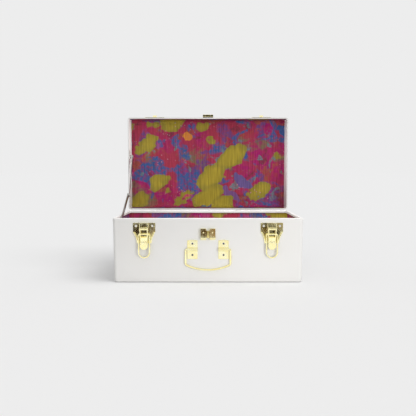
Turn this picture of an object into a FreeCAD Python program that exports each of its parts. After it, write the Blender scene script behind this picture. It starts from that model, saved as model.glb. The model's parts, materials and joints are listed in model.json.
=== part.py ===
import FreeCAD, Part
import math
import os

# A small sheet-steel storage trunk, stored with its lid open.
# +X is right, -Y is the front, +Z is up. The origin is on the floor under the middle of the base.
# Lid pieces are drawn with the lid shut and then turned open about the hinge.

V = FreeCAD.Vector

# The box
WIDTH = 305.0
DEPTH = 175.0
BASE_HEIGHT = 103.5
LID_HEIGHT = 44.0
SHEET = 1.0
CORNER_R = 5.0
EDGE_R = 2.5
RIM_GAP = 0.3
OPEN_ANGLE = 90.0

# Base rim: a band that stands out a little, over walls whose ends lean in, with an inward hem
RIM_STEP = 0.3
RIM_BAND = 5.2
END_LEAN = 1.5
HEM_SLOT = 2.0
HEM_LEG = 4.2
HEM_ROUND = 1.9

# Lid rim: a narrow inward hem
LID_HEM_SLOT = 0.4
LID_HEM_LEG = 2.6
LID_HEM_ROUND = 1.1

# Lining boards
BOARD = 1.0
LAY_GAP = 0.1
LID_BARE = 3.0
LID_COVE_R = 8.0
STRIP_SEAM = 0.4

# Clearances
RUN_FIT = 0.05
MOVE_GAP = 0.3
SAME = 1e-6

# Sheet fittings and rivets
FITTING = 1.0
EASE = 0.25
TIP_CORNER = 2.0
RIVET_HEAD_R = 2.0
RIVET_HEAD_H = 0.9
RIVET_SHANK_R = 1.1
SMALL_HEAD_R = 1.2
SMALL_HEAD_H = 0.35
SMALL_SHANK_R = 0.8

# Butt hinges
HINGE_EDGE = 75.5
HINGE_LENGTH = 46.0
HINGE_LEAF = 19.0
HINGE_KNUCKLES = 5
BARREL_R = 1.5
HINGE_PIN_R = 0.75
HINGE_HEAD_R = 1.25
HINGE_HEAD_T = 0.6
HINGE_RIVET_X = 14.0
HINGE_RIVET_Z = 12.5
FACE_GAP = 0.1

# Draw latches
LATCH_EDGE = 50.6
LATCH_WIDTH = 35.6
LATCH_FOOT_IN = 6.0
LATCH_WAIST_IN = 3.6
LATCH_WAIST_RISE = 2.0
LATCH_DROP = 7.5
LATCH_SHOULDER = 14.7
LATCH_HEIGHT = 32.5
LATCH_FLANGE_W = 3.0
LATCH_FLANGE_H = 2.8
LATCH_FLANGE_R = 1.0
LATCH_HOOD_OUT = 5.5
LATCH_RIVET_X = 12.7
LATCH_RIVET_DROP = 5.0
PIVOT_DROP = 10.0
PIVOT_OUT = 6.5
PIVOT_R = 1.2
EAR_IN = 6.55
EAR_T = 0.6
EAR_R = 3.2
BAR_DROP = 7.8
BAR_OUT = 4.5
LEVER_HALF = 6.3
LEVER_SHEET = 1.2
LEVER_EYE_R = 3.0
LEVER_BAR_EYE_R = 2.5
TONGUE_DROP = 12.8
TONGUE_LENGTH = 19.4
TONGUE_CURL = 1.6
TONGUE_TIP = 5.5
LOOP_HALF = 8.6
LOOP_LENGTH = 37.7
LOOP_WIRE_R = 1.15
LOOP_BEND = 2.4
LOOP_TILT = 3.0

# Keepers on the lid
KEEPER_WIDTH = 37.8
KEEPER_RISE = 3.0
KEEPER_HEIGHT = 17.0
KEEPER_HOOK_W = 7.0
KEEPER_NOSE_R = 0.8
KEEPER_RIVET_X = 13.4
KEEPER_RIVET_RISE = 12.6

# Handle
SADDLE_X = 24.9
SADDLE_WIDTH = 16.6
SADDLE_LOW = 37.8
SADDLE_HEIGHT = 31.0
SADDLE_CROWN = 1.2
SADDLE_SHEET = 1.2
SADDLE_CORNER = 0.8
BAIL_Z = 53.5
BAIL_R = 1.6
BAIL_FACE_GAP = 0.15
BAIL_HALF = 35.8
BAIL_SIDE = 24.8
BAIL_DIP = 8.2
BAIL_TOP_BEND = 2.4
BAIL_LOW_BEND = 4.0
SCREW_SPREAD = 9.05
SCREW_RECESS_R = 1.1
SCREW_RECESS_D = 1.0

# Centre clasp
CATCH_WIDTH = 23.7
CATCH_HEIGHT = 18.5
CATCH_DROP = 16.4
CATCH_PAD = 3.5
CATCH_GROOVE = 3.2
CATCH_GROOVE_OUT = 3.6
CATCH_NOTCH = 5.6
CATCH_MOUTH = 7.2
CATCH_MOUTH_H = 4.0
CATCH_LEDGE = 3.4
CATCH_LEDGE_R = 3.0
CATCH_RIVET_X = 7.2
CATCH_RIVET_DROP = 6.5
HASP_WIDTH = 19.6
HASP_LEAF = 13.0
HASP_RISE = 4.5
HASP_BARREL_R = 2.4
HASP_PIN_R = 1.0
HASP_TONGUE_W = 9.6
HASP_TONGUE_LENGTH = 34.0
HASP_TIP_R = 3.8
HASP_SHEET = 1.2
HASP_RIB_W = 1.8
HASP_RIB_H = 2.4
HASP_RIB_LENGTH = 10.0
HASP_RIVET_X = 7.2
HASP_RIVET_RISE = 8.0

# Lid stay on the left
STAY_SHEET = 1.2
ARM_T = 1.5
ARM_WIDTH = 8.0
STAY_BASE_REACH = 128.9
STAY_BASE_DROP = 12.6
STAY_LID_REACH = 102.35
STAY_LID_RISE = 8.25
STAY_LOWER = 99.8
STAY_UPPER = 85.9
STAY_PIN_R = 1.5
STAY_HEAD_R = 2.8
STAY_HEAD_T = 1.0
STAY_BOSS_R = 3.0
STAY_PLATE_L = 26.0
STAY_PLATE_H = 10.0
STAY_PLATE_R = 4.0
STAY_RIVET_SPREAD = 9.0
STAY_HEM_GAP = 0.4

# Places that follow from the sizes
FRONT = -DEPTH / 2
BACK = DEPTH / 2
LEFT = -WIDTH / 2
BAND_LOW = BASE_HEIGHT - RIM_BAND
HEM = 2 * SHEET + HEM_SLOT
LID_HEM = 2 * SHEET + LID_HEM_SLOT
LID_LOW = BASE_HEIGHT + RIM_GAP
LID_TOP = LID_LOW + LID_HEIGHT
HINGE_Y = BACK + BARREL_R + FACE_GAP
HINGE_Z = BASE_HEIGHT + RIM_GAP / 2
HINGE_X = WIDTH / 2 - HINGE_EDGE
LATCH_X = WIDTH / 2 - LATCH_EDGE
LATCH_TOP = BASE_HEIGHT - LATCH_DROP
PIVOT_Z = LATCH_TOP - PIVOT_DROP
BAR_Z = PIVOT_Z - BAR_DROP
BAIL_OUT = BAIL_R + BAIL_FACE_GAP
CATCH_TOP = BASE_HEIGHT - CATCH_DROP
HASP_Z = LID_LOW + HASP_RISE
HASP_OUT = HASP_BARREL_R + FITTING + MOVE_GAP
STAY_BASE_Y = HINGE_Y - STAY_BASE_REACH
STAY_BASE_Z = BASE_HEIGHT - STAY_BASE_DROP


def rounded_block(width, depth, radius, low, high):
    """Upright block centred on the Z axis, with rounded vertical edges."""
    block = Part.makeBox(width, depth, high - low, V(-width / 2, -depth / 2, low))
    upright = [e for e in block.Edges if e.BoundBox.ZLength > SAME]
    return block.makeFillet(radius, upright)


def inset_block(inset, low, high):
    """Block of the trunk's plan, drawn in by an inset."""
    radius = max(CORNER_R - inset, SHEET)
    return rounded_block(WIDTH - 2 * inset, DEPTH - 2 * inset, radius, low, high)


def end_lean(height):
    """How far an end wall of the base has leaned in at a height."""
    return END_LEAN * (1 - height / BAND_LOW)


def leaning_block(inset, low, high):
    """Block of the base's plan, drawn in by an inset, whose ends lean in towards the bottom."""
    low_x, high_x = [WIDTH / 2 - inset - end_lean(height) for height in (low, high)]
    front = FRONT + inset
    corners = [V(-low_x, front, low), V(low_x, front, low), V(high_x, front, high), V(-high_x, front, high)]
    block = Part.Face(Part.makePolygon(corners + corners[:1])).extrude(V(0, DEPTH - 2 * inset, 0))
    upright = [e for e in block.Edges if e.BoundBox.ZLength > SAME]
    return block.makeFillet(max(CORNER_R - inset, SHEET), upright)


def edges_at_height(shape, height):
    """Edges that lie flat at one height."""
    level = [e for e in shape.Edges if e.BoundBox.ZLength < SAME]
    return [e for e in level if abs(e.BoundBox.ZMin - height) < SAME]


def edges_through(shape, thickness):
    """Short edges of a front or back plate that run through its thickness."""
    return [e for e in shape.Edges if e.BoundBox.YLength > thickness / 2 and e.BoundBox.ZLength < SAME]


def folds_at_height(shape, height):
    """Long edges along X at one height."""
    return [e for e in edges_at_height(shape, height) if e.BoundBox.XLength > DEPTH]


def rod(start, end, radius):
    """Round bar between two points."""
    along = end - start
    return Part.makeCylinder(radius, along.Length, start, along)


def across(x0, x1, out, height, radius):
    """Round bar along X in front of the front face."""
    return rod(V(x0, FRONT - out, height), V(x1, FRONT - out, height), radius)


def slab(x0, x1, out0, out1, z0, z1):
    """Box in front of the front face, by its distances out from that face."""
    return Part.makeBox(x1 - x0, out1 - out0, z1 - z0, V(x0, FRONT - out1, z0))


def front_piece(edges, out, thickness):
    """Flat piece drawn in X and Z, standing out from the front face."""
    face = Part.Face(Part.Wire(edges))
    face.translate(V(0, FRONT - out, 0))
    return face.extrude(V(0, -thickness, 0))


def side_piece(corners, x0, x1):
    """Piece drawn as (distance out from the front face, height) and extruded across X."""
    points = [V(x0, FRONT - out, height) for out, height in corners]
    return Part.Face(Part.makePolygon(points + points[:1])).extrude(V(x1 - x0, 0, 0))


def line(start, end):
    """Straight edge in X and Z."""
    return Part.LineSegment(V(start[0], 0, start[1]), V(end[0], 0, end[1])).toShape()


def arc(start, middle, end):
    """Arc edge through three points in X and Z."""
    return Part.Arc(*[V(p[0], 0, p[1]) for p in (start, middle, end)]).toShape()


def bend(centre, radius, from_angle, to_angle):
    """Arc edge in X and Z about a centre, by its angles in degrees."""
    angles = (from_angle, (from_angle + to_angle) / 2, to_angle)
    turns = [math.radians(a) for a in angles]
    return arc(*[(centre[0] + radius * math.cos(t), centre[1] + radius * math.sin(t)) for t in turns])


def wire_form(edges, out, radius):
    """Round wire bent along edges drawn in X and Z."""
    path = Part.Wire(edges)
    path.translate(V(0, FRONT - out, 0))
    first = path.OrderedEdges[0]
    start = first.valueAt(first.FirstParameter)
    section = Part.Wire(Part.makeCircle(radius, start, first.tangentAt(first.FirstParameter)))
    return path.makePipeShell([section], True, False)


PLAIN_RIVET = (RIVET_HEAD_R, RIVET_HEAD_H, RIVET_SHANK_R)
SMALL_RIVET = (SMALL_HEAD_R, SMALL_HEAD_H, SMALL_SHANK_R)


def rivet(seat, inward, grip, sizes):
    """Domed rivet: its head sits at the seat and its shank runs inward."""
    head_r, head_h, shank_r = sizes
    ball_r = (head_r ** 2 + head_h ** 2) / (2 * head_h)
    half = math.asin(head_r / ball_r) / 2
    dome = (ball_r * math.sin(half), head_h - ball_r + ball_r * math.cos(half))
    outline = [
        line((0, -grip), (shank_r, -grip)),
        line((shank_r, -grip), (shank_r, 0)),
        line((shank_r, 0), (head_r, 0)),
        arc((head_r, 0), dome, (0, head_h)),
        line((0, head_h), (0, -grip)),
    ]
    solid = Part.Face(Part.Wire(outline)).revolve(V(0, 0, 0), V(0, 0, 1), 360)
    solid.Placement = FreeCAD.Placement(seat, FreeCAD.Rotation(V(0, 0, -1), inward))
    return Part.Solid(solid) if solid.ShapeType != "Solid" else solid


def rivet_hole(seat, inward, grip, sizes):
    """Hole for a rivet, cut through everything under its head."""
    return rod(seat - inward * SHEET, seat + inward * (grip + SHEET), sizes[2] + RUN_FIT)


def punched(shape, rivets):
    """Shape with the holes of its rivets."""
    return shape.cut([rivet_hole(*each) for each in rivets])


def eased(shape, out):
    """Front plate with the edges of its front face rounded."""
    return shape.makeFillet(EASE, [e for e in shape.Edges if e.BoundBox.YMax < FRONT - out + SAME])


def front_rivet(x, z, under, sizes=PLAIN_RIVET):
    """Rivet through a front fitting and the wall behind it, flush inside."""
    return V(x, FRONT - under, z), V(0, 1, 0), under + SHEET, sizes


def back_rivet(x, z):
    """Rivet through a hinge leaf and the wall behind it, flush inside."""
    return V(x, BACK + FITTING, z), V(0, -1, 0), FITTING + SHEET, PLAIN_RIVET


def left_rivet(y, z, inside, outside):
    """Rivet through a stay plate inside the left wall, flush outside."""
    return V(inside, y, z), V(-1, 0, 0), inside - outside, SMALL_RIVET


def opened(shape):
    """Turn a lid piece from shut to open."""
    turned = shape.copy()
    turned.rotate(V(0, HINGE_Y, HINGE_Z), V(1, 0, 0), -OPEN_ANGLE)
    return turned


def moved(shape, x):
    """Copy of a piece, shifted along X."""
    copy = shape.copy()
    copy.translate(V(x, 0, 0))
    return copy


# Rivets, each as its seat, its direction, its grip and its sizes
SIDES = (("left", -1), ("right", 1))
HINGES = [(side, sign * HINGE_X) for side, sign in SIDES]
LATCHES = [(side, sign * LATCH_X) for side, sign in SIDES]
SADDLES = [(side, sign * SADDLE_X) for side, sign in SIDES]
STAY_PLATE_LEAN = end_lean(STAY_BASE_Z - STAY_PLATE_H / 2)
STAY_PLATE_X = LEFT + SHEET + LAY_GAP + BOARD + LAY_GAP + STAY_PLATE_LEAN
STAY_WALL_X = LEFT + end_lean(STAY_BASE_Z)
STAY_LID_X = LEFT + SHEET
LATCH_RIVETS = [
    front_rivet(x + s * LATCH_RIVET_X, LATCH_TOP - LATCH_RIVET_DROP, FITTING)
    for _, x in LATCHES for _, s in SIDES
]
KEEPER_RIVETS = [
    front_rivet(x + s * KEEPER_RIVET_X, LID_LOW + KEEPER_RIVET_RISE, FITTING)
    for _, x in LATCHES for _, s in SIDES
]
HANDLE_SCREWS = [
    front_rivet(x, BAIL_Z + s * SCREW_SPREAD, SADDLE_SHEET) for _, x in SADDLES for _, s in SIDES
]
HINGE_BASE_RIVETS = [
    back_rivet(x + s * HINGE_RIVET_X, HINGE_Z - HINGE_RIVET_Z)
    for _, x in HINGES for _, s in SIDES
]
HINGE_LID_RIVETS = [
    back_rivet(x + s * HINGE_RIVET_X, HINGE_Z + HINGE_RIVET_Z)
    for _, x in HINGES for _, s in SIDES
]
CATCH_RIVETS = [
    front_rivet(s * CATCH_RIVET_X, CATCH_TOP - CATCH_RIVET_DROP, FITTING + CATCH_PAD, SMALL_RIVET)
    for _, s in SIDES
]
HASP_RIVETS = [front_rivet(s * HASP_RIVET_X, HASP_Z + HASP_RIVET_RISE, FITTING) for _, s in SIDES]
STAY_BASE_RIVETS = [
    left_rivet(STAY_BASE_Y + s * STAY_RIVET_SPREAD, STAY_BASE_Z, STAY_PLATE_X + STAY_SHEET, STAY_WALL_X)
    for _, s in SIDES
]
STAY_LID_Y = HINGE_Y - STAY_LID_REACH
STAY_LID_RIVETS = [
    left_rivet(STAY_LID_Y + s * STAY_RIVET_SPREAD, HINGE_Z + STAY_LID_RISE, STAY_LID_X + STAY_SHEET, LEFT)
    for _, s in SIDES
]


def base_shell():
    """Open box with leaning ends, a proud rim band and the rim turned inward as an open hem."""
    outer = leaning_block(0, 0, BAND_LOW)
    outer = outer.makeFillet(EDGE_R, edges_at_height(outer, 0))
    inner = leaning_block(SHEET, SHEET, BAND_LOW)
    inner = inner.makeFillet(max(EDGE_R - SHEET, SHEET), edges_at_height(inner, SHEET))
    walls = outer.cut(inner)
    rim = inset_block(-RIM_STEP, BAND_LOW, BASE_HEIGHT).cut(inset_block(HEM, BAND_LOW, BASE_HEIGHT))
    rim = rim.makeFillet(HEM_ROUND, edges_at_height(rim, BASE_HEIGHT))
    slot_top = BASE_HEIGHT - SHEET
    slot_out = SHEET - RIM_STEP
    slot_in = SHEET + HEM_SLOT
    rim = rim.cut(inset_block(slot_out, BAND_LOW, slot_top).cut(inset_block(slot_in, BAND_LOW, slot_top)))
    hem_low = BASE_HEIGHT - HEM_LEG
    rim = rim.cut(inset_block(slot_in, BAND_LOW, hem_low).cut(inset_block(HEM, BAND_LOW, hem_low)))
    body = walls.fuse(rim).removeSplitter()
    for _, x in HINGES:
        width = HINGE_LENGTH + 2 * MOVE_GAP
        seat = Part.makeBox(width, RIM_STEP, RIM_BAND + SHEET, V(x - width / 2, BACK, BAND_LOW - SHEET))
        body = body.cut(seat)
    return punched(body, LATCH_RIVETS + HANDLE_SCREWS + HINGE_BASE_RIVETS + CATCH_RIVETS + STAY_BASE_RIVETS)


def lid_shell():
    """Lid with its rim turned inward as a narrow hem."""
    outer = inset_block(0, LID_LOW, LID_TOP)
    outer = outer.makeFillet(EDGE_R, edges_at_height(outer, LID_TOP))
    inner = inset_block(SHEET, LID_LOW, LID_TOP - SHEET)
    inner = inner.makeFillet(max(EDGE_R - SHEET, SHEET), edges_at_height(inner, LID_TOP - SHEET))
    leg_top = LID_LOW + LID_HEM_LEG
    hem = inset_block(0, LID_LOW, leg_top).cut(inset_block(LID_HEM, LID_LOW, leg_top))
    body = outer.cut(inner).fuse(hem).removeSplitter()
    body = body.makeFillet(LID_HEM_ROUND, edges_at_height(body, LID_LOW))
    slot_low = LID_LOW + SHEET
    slot_in = SHEET + LID_HEM_SLOT
    body = body.cut(inset_block(SHEET, slot_low, leg_top).cut(inset_block(slot_in, slot_low, leg_top)))
    return punched(body, KEEPER_RIVETS + HINGE_LID_RIVETS + HASP_RIVETS + STAY_LID_RIVETS)


def base_wall_liner():
    """One strip of board bent round the walls, its top edge tucked into the hem."""
    inset = SHEET + LAY_GAP
    low = SHEET + max(EDGE_R - SHEET, SHEET) + LAY_GAP
    high = BASE_HEIGHT - SHEET - MOVE_GAP
    strip = leaning_block(inset, low, high).cut(leaning_block(inset + BOARD, low, high))
    reach = 2 * (SHEET + BOARD)
    seam = Part.makeBox(STRIP_SEAM, reach, high, V(-STRIP_SEAM / 2, FRONT, 0))
    return punched(strip.cut(seam), STAY_BASE_RIVETS)


def base_floor_liner():
    """Board laid on the floor inside the wall strip."""
    return leaning_block(SHEET + 2 * LAY_GAP + BOARD + MOVE_GAP, SHEET, SHEET + BOARD)


def lid_liner():
    """One sheet against the lid top, coved up the front and back walls."""
    inset = SHEET + LAY_GAP
    top = LID_TOP - inset
    low = LID_LOW + LID_BARE
    sheet = inset_block(inset, low, top)
    sheet = sheet.makeFillet(EDGE_R - SHEET, edges_at_height(sheet, top))
    half = DEPTH / 2 - inset
    blank = Part.makeBox(WIDTH, 2 * half, top - low, V(-WIDTH / 2, -half, low))
    blank = blank.makeFillet(LID_COVE_R + BOARD, folds_at_height(blank, top))
    room_top = top - BOARD
    room_half = half - BOARD
    room = Part.makeBox(WIDTH, 2 * room_half, room_top - low, V(-WIDTH / 2, -room_half, low))
    room = room.makeFillet(LID_COVE_R, folds_at_height(room, room_top))
    return sheet.common(blank).cut(room)


def knuckle_spans(x):
    """X limits of a hinge's knuckles, in order."""
    step = HINGE_LENGTH / HINGE_KNUCKLES
    start = x - HINGE_LENGTH / 2
    return [(start + i * step, start + (i + 1) * step) for i in range(HINGE_KNUCKLES)]


def hinge_leaf(x, upper):
    """Leaf on the back face with every other knuckle of the barrel."""
    low = HINGE_Z if upper else HINGE_Z - HINGE_LEAF
    leaf = Part.makeBox(HINGE_LENGTH, FITTING, HINGE_LEAF, V(x - HINGE_LENGTH / 2, BACK, low))
    tips = [e for e in edges_through(leaf, FITTING) if abs(e.BoundBox.ZMin - HINGE_Z) > FITTING]
    leaf = leaf.makeFillet(TIP_CORNER, tips)
    spans = knuckle_spans(x)
    barrel = rod(V(spans[0][0], HINGE_Y, HINGE_Z), V(spans[-1][1], HINGE_Y, HINGE_Z), BARREL_R)
    body = leaf.fuse(barrel)
    room = BARREL_R + MOVE_GAP
    for x0, x1 in spans[0 if upper else 1::2]:
        corner = V(x0 - MOVE_GAP / 2, BACK, HINGE_Z - room)
        body = body.cut(Part.makeBox(x1 - x0 + MOVE_GAP, 2 * room + FACE_GAP, 2 * room, corner))
    start = V(x - HINGE_LENGTH, HINGE_Y, HINGE_Z)
    end = V(x + HINGE_LENGTH, HINGE_Y, HINGE_Z)
    body = body.cut(rod(start, end, HINGE_PIN_R + RUN_FIT)).removeSplitter()
    return punched(body, HINGE_LID_RIVETS if upper else HINGE_BASE_RIVETS)


def hinge_pin(x):
    """Headed pin through the knuckles."""
    half = HINGE_LENGTH / 2 + RUN_FIT
    pin = rod(V(x - half, HINGE_Y, HINGE_Z), V(x + half, HINGE_Y, HINGE_Z), HINGE_PIN_R)
    for end in (-1, 1):
        start = V(x + end * half, HINGE_Y, HINGE_Z)
        pin = pin.fuse(rod(start, start + V(end * HINGE_HEAD_T, 0, 0), HINGE_HEAD_R))
    return pin.removeSplitter()


def latch_side(sign, inward):
    """Points of the latch plate's waisted side: shoulder, waist and foot."""
    waist_z = LATCH_TOP - (LATCH_SHOULDER + LATCH_HEIGHT) / 2 + LATCH_WAIST_RISE
    shoulder = (sign * (LATCH_WIDTH / 2 - inward), LATCH_TOP - LATCH_SHOULDER)
    waist = (sign * (LATCH_WIDTH / 2 - LATCH_WAIST_IN - inward), waist_z)
    foot = (sign * (LATCH_WIDTH / 2 - LATCH_FOOT_IN - inward), LATCH_TOP - LATCH_HEIGHT)
    return shoulder, waist, foot


def latch_plate():
    """Waisted plate with turned-out side flanges, and a hood with two ears for the lever pin."""
    right = latch_side(1, 0)
    left = latch_side(-1, 0)
    top_left = (-LATCH_WIDTH / 2, LATCH_TOP)
    top_right = (LATCH_WIDTH / 2, LATCH_TOP)
    outline = [
        line(top_left, top_right),
        line(top_right, right[0]),
        arc(*right),
        line(right[2], left[2]),
        arc(left[2], left[1], left[0]),
        line(left[0], top_left),
    ]
    plate = front_piece(outline, 0, FITTING)
    top_corners = [e for e in edges_through(plate, FITTING) if abs(e.BoundBox.ZMin - LATCH_TOP) < SAME]
    plate = plate.makeFillet(SADDLE_CORNER, top_corners)
    hood_low = PIVOT_Z + LEVER_EYE_R + 2 * MOVE_GAP
    hood_under = LATCH_TOP - FITTING
    hood = [
        (0, LATCH_TOP),
        (LATCH_HOOD_OUT, LATCH_TOP),
        (LATCH_HOOD_OUT, hood_low),
        (LATCH_HOOD_OUT - FITTING, hood_low),
        (LATCH_HOOD_OUT - FITTING, hood_under),
        (0, hood_under),
    ]
    ear_side = [
        (0, PIVOT_Z - EAR_R),
        (PIVOT_OUT, PIVOT_Z - EAR_R),
        (PIVOT_OUT, PIVOT_Z + EAR_R),
        (LATCH_HOOD_OUT, hood_under),
        (0, hood_under),
    ]
    for sign in (-1, 1):
        outside = latch_side(sign, 0)
        inside = latch_side(sign, LATCH_FLANGE_W)
        band = [
            arc(*outside),
            line(outside[2], inside[2]),
            arc(inside[2], inside[1], inside[0]),
            line(inside[0], outside[0]),
        ]
        flange = front_piece(band, 0, LATCH_FLANGE_H)
        crest = [e for e in flange.Edges if e.BoundBox.YMax < FRONT - LATCH_FLANGE_H + SAME]
        sides = [e for e in crest if e.BoundBox.ZLength > LATCH_FLANGE_W]
        plate = plate.fuse(flange.makeFillet(LATCH_FLANGE_R, sides))
        ear_in = sign * EAR_IN
        ear_x = sorted((ear_in, ear_in + sign * EAR_T))
        ear = side_piece(ear_side, ear_x[0], ear_x[1])
        plate = plate.fuse(ear.fuse(across(ear_x[0], ear_x[1], PIVOT_OUT, PIVOT_Z, EAR_R)))
    hood_half = EAR_IN + EAR_T
    plate = plate.fuse(side_piece(hood, -hood_half, hood_half)).removeSplitter()
    plate = plate.cut(across(-LATCH_WIDTH, LATCH_WIDTH, PIVOT_OUT, PIVOT_Z, PIVOT_R + RUN_FIT))
    holes = [front_rivet(s * LATCH_RIVET_X, LATCH_TOP - LATCH_RIVET_DROP, FITTING) for _, s in SIDES]
    return punched(plate, holes)


def latch_lever():
    """Lever of two side rails, a bridge over the pin and a broad curled tongue."""
    tongue_z = PIVOT_Z - TONGUE_DROP
    tip_z = tongue_z - TONGUE_LENGTH
    face_out = PIVOT_OUT + LEVER_SHEET / 2
    rail_corners = [
        (PIVOT_OUT - LEVER_EYE_R, PIVOT_Z),
        (BAR_OUT - LEVER_BAR_EYE_R, BAR_Z),
        (BAR_OUT - LEVER_SHEET, tongue_z),
        (face_out - LEVER_SHEET, tip_z + TONGUE_TIP),
        (face_out, tip_z + TONGUE_TIP),
        (face_out, tongue_z),
        (PIVOT_OUT + LEVER_EYE_R, PIVOT_Z),
    ]
    lever = None
    for sign in (-1, 1):
        x0, x1 = sorted((sign * LEVER_HALF, sign * (LEVER_HALF - LEVER_SHEET)))
        rail = side_piece(rail_corners, x0, x1)
        rail = rail.fuse(across(x0, x1, PIVOT_OUT, PIVOT_Z, LEVER_EYE_R))
        rail = rail.fuse(across(x0, x1, BAR_OUT, BAR_Z, LEVER_BAR_EYE_R))
        lever = rail if lever is None else lever.fuse(rail)
    bridge_low = PIVOT_Z + PIVOT_R + MOVE_GAP
    bridge_high = PIVOT_Z + LEVER_EYE_R
    bridge_out = PIVOT_OUT + LEVER_SHEET
    bridge = slab(-LEVER_HALF, LEVER_HALF, PIVOT_OUT, bridge_out, bridge_low, bridge_high)
    tongue = tongue_plate(tongue_z, tip_z, face_out)
    lever = lever.fuse(bridge).fuse(tongue).removeSplitter()
    lever = lever.cut(across(-LATCH_WIDTH, LATCH_WIDTH, PIVOT_OUT, PIVOT_Z, PIVOT_R + RUN_FIT))
    return lever.cut(across(-LATCH_WIDTH, LATCH_WIDTH, BAR_OUT, BAR_Z, LOOP_WIRE_R + RUN_FIT))


def tongue_plate(tongue_z, tip_z, face_out):
    """Finger tongue: round tip, curled away from the trunk."""
    def bowed(out):
        middle = (tongue_z + tip_z) / 2
        points = [(out, tongue_z), (out - TONGUE_CURL / 4, middle), (out + TONGUE_CURL, tip_z)]
        return [V(-LEVER_HALF, FRONT - o, z) for o, z in points]
    outside = bowed(face_out)
    inside = bowed(face_out - LEVER_SHEET)
    profile = Part.Wire([
        Part.Arc(*outside).toShape(),
        Part.LineSegment(outside[2], inside[2]).toShape(),
        Part.Arc(inside[2], inside[1], inside[0]).toShape(),
        Part.LineSegment(inside[0], outside[0]).toShape(),
    ])
    bowed_sheet = Part.Face(profile).extrude(V(2 * LEVER_HALF, 0, 0))
    shoulder_z = tip_z + TONGUE_TIP
    outline = [
        line((-LEVER_HALF, tongue_z), (LEVER_HALF, tongue_z)),
        line((LEVER_HALF, tongue_z), (LEVER_HALF, shoulder_z)),
        arc((LEVER_HALF, shoulder_z), (0, tip_z), (-LEVER_HALF, shoulder_z)),
        line((-LEVER_HALF, shoulder_z), (-LEVER_HALF, tongue_z)),
    ]
    return bowed_sheet.common(front_piece(outline, 0, 2 * face_out))


def latch_pin():
    """Pin through the ears and the lever's rails."""
    half = EAR_IN + EAR_T + RUN_FIT
    return across(-half, half, PIVOT_OUT, PIVOT_Z, PIVOT_R)


def latch_loop():
    """Closed wire loop with a round end, hanging from its bar in the lever."""
    end_z = BAR_Z - LOOP_LENGTH + LOOP_HALF
    corner_x = LOOP_HALF - LOOP_BEND
    corner_z = BAR_Z - LOOP_BEND
    half = [
        line((0, BAR_Z), (corner_x, BAR_Z)),
        bend((corner_x, corner_z), LOOP_BEND, 90, 0),
        line((LOOP_HALF, corner_z), (LOOP_HALF, end_z)),
        bend((0, end_z), LOOP_HALF, 0, -90),
    ]
    side = wire_form(half, BAR_OUT, LOOP_WIRE_R)
    other = side.mirror(V(0, 0, 0), V(1, 0, 0))
    return side.fuse(other).removeSplitter()


def keeper():
    """Plate on the lid with a hook, open at the top, for the wire loop."""
    low = LID_LOW + KEEPER_RISE
    tip_z = BAR_Z + LOOP_LENGTH * math.cos(math.radians(LOOP_TILT))
    tip_out = BAR_OUT - LOOP_LENGTH * math.sin(math.radians(LOOP_TILT))
    half = KEEPER_HOOK_W / 2
    round_drop = LOOP_HALF - math.sqrt(LOOP_HALF ** 2 - half ** 2)
    trough = tip_z - LOOP_WIRE_R - round_drop - MOVE_GAP
    lip_in = tip_out + LOOP_WIRE_R + MOVE_GAP
    plate = slab(-KEEPER_WIDTH / 2, KEEPER_WIDTH / 2, 0, FITTING, low, low + KEEPER_HEIGHT)
    plate = plate.makeFillet(TIP_CORNER, edges_through(plate, FITTING))
    plate = eased(plate, FITTING)
    lip_top = tip_z + LOOP_WIRE_R
    shelf = slab(-half, half, 0, lip_in + FITTING, trough - FITTING, trough)
    lip = slab(-half, half, lip_in, lip_in + FITTING, trough - FITTING, lip_top)
    hook = shelf.fuse(lip).removeSplitter()
    under = [e for e in edges_at_height(hook, trough - FITTING) if e.BoundBox.XLength > half]
    nose = [e for e in under if e.BoundBox.YMax < FRONT - lip_in]
    hook = hook.makeFillet(KEEPER_NOSE_R, nose)
    holes = [front_rivet(s * KEEPER_RIVET_X, LID_LOW + KEEPER_RIVET_RISE, FITTING) for _, s in SIDES]
    return punched(plate.fuse(hook).removeSplitter(), holes)


def saddle_plate(x):
    """Handle plate with a domed top edge and a half-round saddle over the bail's end."""
    left = x - SADDLE_WIDTH / 2
    right = x + SADDLE_WIDTH / 2
    high = SADDLE_LOW + SADDLE_HEIGHT
    outline = [
        line((left, SADDLE_LOW), (right, SADDLE_LOW)),
        line((right, SADDLE_LOW), (right, high - SADDLE_CROWN)),
        arc((right, high - SADDLE_CROWN), (x, high), (left, high - SADDLE_CROWN)),
        line((left, high - SADDLE_CROWN), (left, SADDLE_LOW)),
    ]
    plate = front_piece(outline, 0, SADDLE_SHEET)
    plate = eased(plate.makeFillet(SADDLE_CORNER, edges_through(plate, SADDLE_SHEET)), SADDLE_SHEET)
    bore_r = BAIL_R + RUN_FIT
    saddle_r = bore_r + SADDLE_SHEET
    saddle = across(left, right, BAIL_OUT, BAIL_Z, saddle_r)
    before = slab(left, right, 0, BAIL_OUT + saddle_r, BAIL_Z - saddle_r, BAIL_Z + saddle_r)
    saddle = saddle.common(before)
    plate = plate.fuse(saddle).removeSplitter()
    plate = plate.cut(across(left, right, BAIL_OUT, BAIL_Z, bore_r))
    plate = plate.cut(slab(left, right, 0, BAIL_OUT, BAIL_Z - bore_r, BAIL_Z + bore_r))
    holes = [front_rivet(x, BAIL_Z + s * SCREW_SPREAD, SADDLE_SHEET) for _, s in SIDES]
    return punched(plate, holes)


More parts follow.
